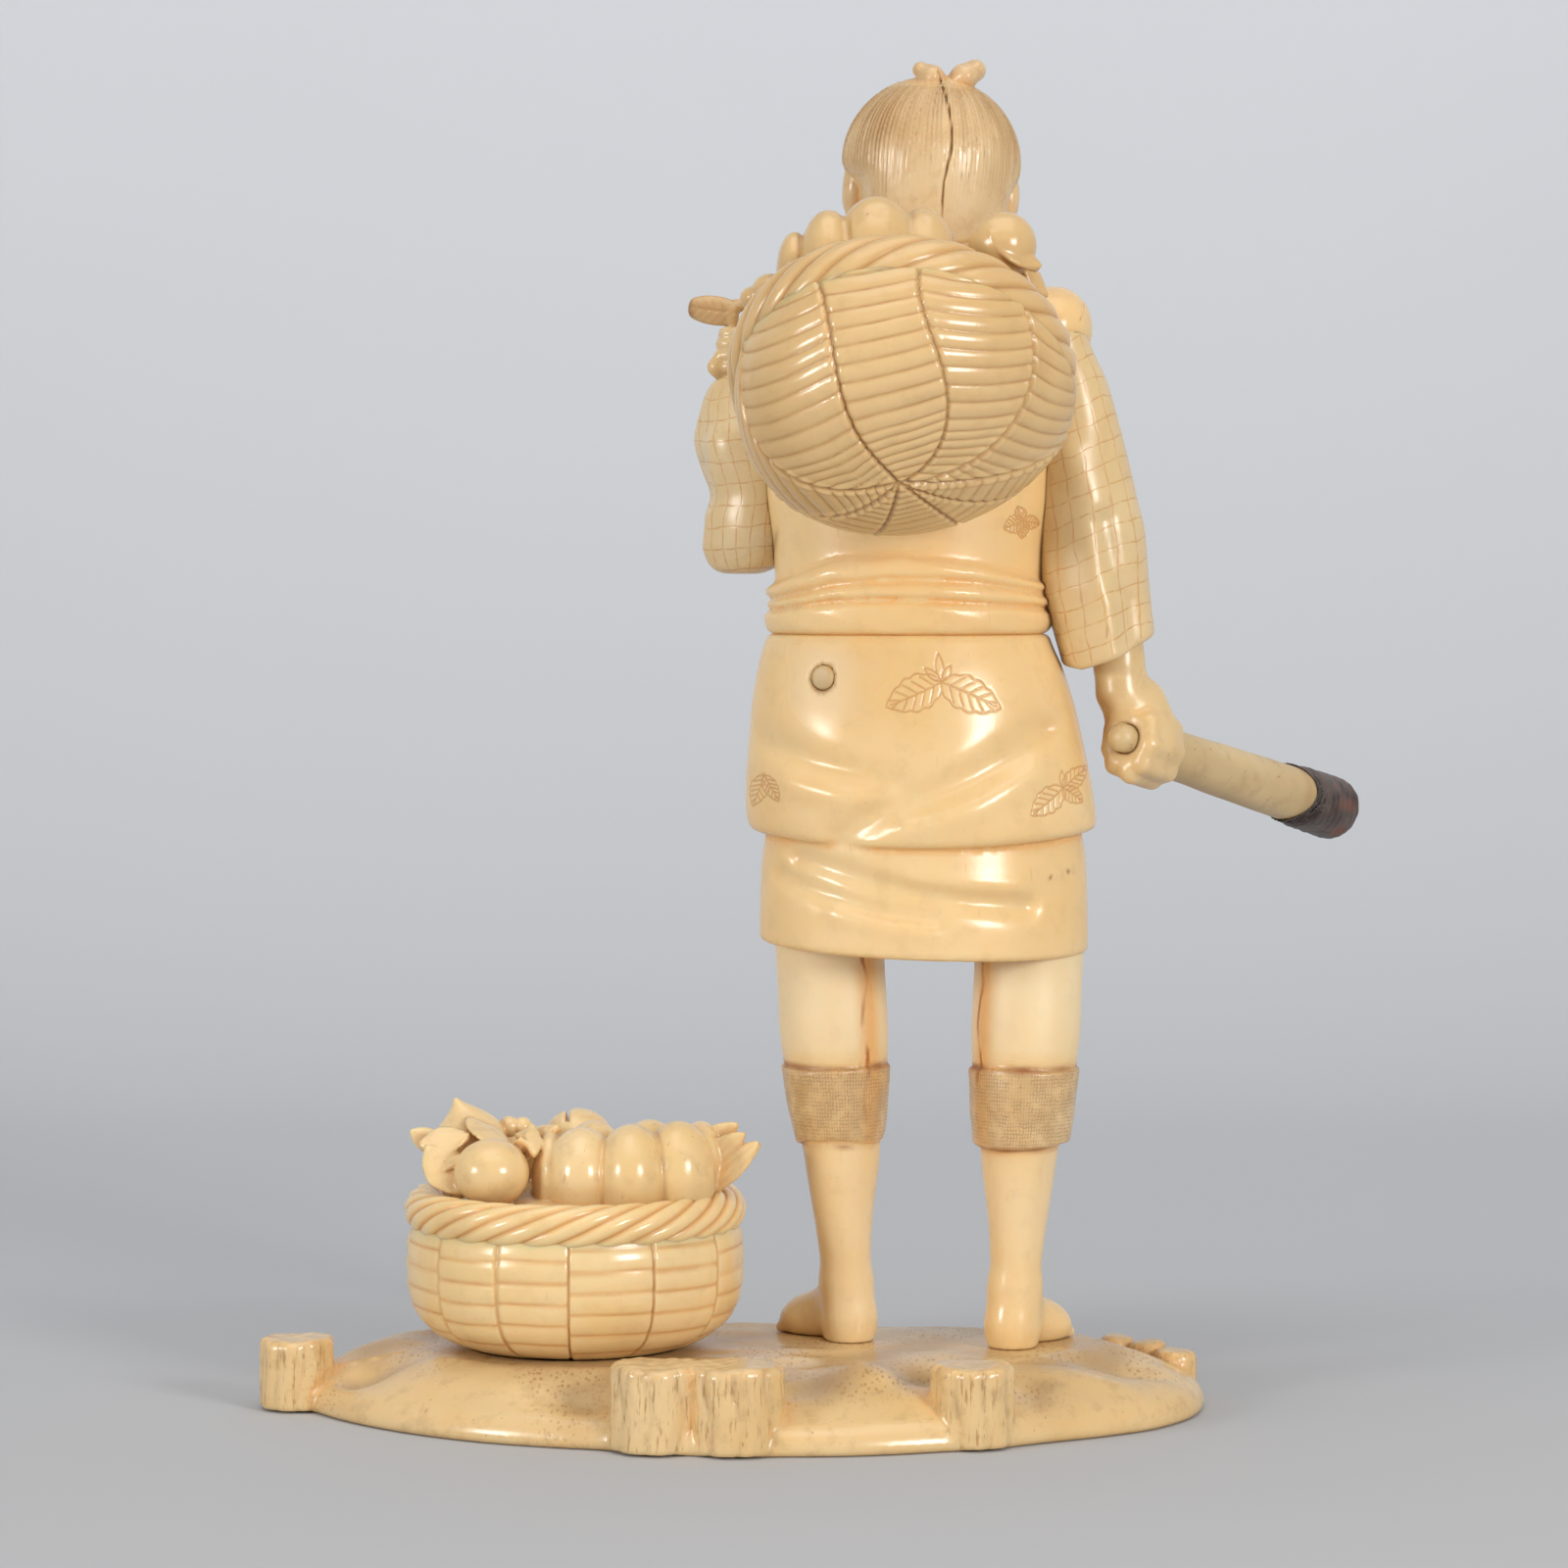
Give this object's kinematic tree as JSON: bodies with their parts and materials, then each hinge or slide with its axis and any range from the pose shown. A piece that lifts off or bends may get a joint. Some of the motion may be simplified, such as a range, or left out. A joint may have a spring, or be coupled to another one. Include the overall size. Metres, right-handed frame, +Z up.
{
  "type": "okimono carving",
  "caption": "Sectional okimono carving of a standing fruit carrier with a basket on the back, another basket on an oval ground with stumps, and a staff that draws out of the fist.",
  "frame": {"origin": "centre of the oval ground's flat underside", "axes": "+Z up; +Y is the way the figure faces, away from the camera; +X to the picture's right, the staff side"},
  "size_m": [0.1587, 0.1015, 0.1875],
  "materials": {
    "ivory_figure": "polished, warm cream",
    "ivory_ground": "polished, stained in the hollows",
    "ivory_basket": "polished, stained in the grooves",
    "ivory_pin": "plain turned",
    "dark_horn": "dark, ribbed"
  },
  "bodies": {
    "carving": {"left_leg": "ivory_figure", "right_leg": "ivory_figure", "skirt": "ivory_figure", "torso": "ivory_figure", "head": "ivory_figure", "right_sleeve": "ivory_figure", "left_sleeve": "ivory_figure", "right_hand": "ivory_figure", "left_hand": "ivory_figure", "leaf_sprig": "ivory_figure", "hip_peg": "ivory_figure", "ground_base": "ivory_ground", "pack_basket": "ivory_basket", "pack_fruit": "ivory_basket", "floor_basket": "ivory_basket", "floor_fruit": "ivory_basket", "left_foot_peg": "ivory_pin", "right_foot_peg": "ivory_pin", "left_leg_dowel": "ivory_pin", "right_leg_dowel": "ivory_pin", "waist_dowel": "ivory_pin", "neck_dowel": "ivory_pin", "right_shoulder_dowel": "ivory_pin", "left_shoulder_dowel": "ivory_pin", "right_wrist_dowel": "ivory_pin", "left_wrist_dowel": "ivory_pin", "pack_peg": "ivory_pin", "floor_basket_peg": "ivory_pin"},
    "staff": {"staff": "ivory_figure", "staff_cap": "dark_horn"}
  },
  "joints": [
    {"name": "staff_slide", "type": "slide", "parent": "carving", "child": "staff", "axis": [0.5522, 0.8095, -0.1994], "range_m": [0, 0.011]}
  ]
}
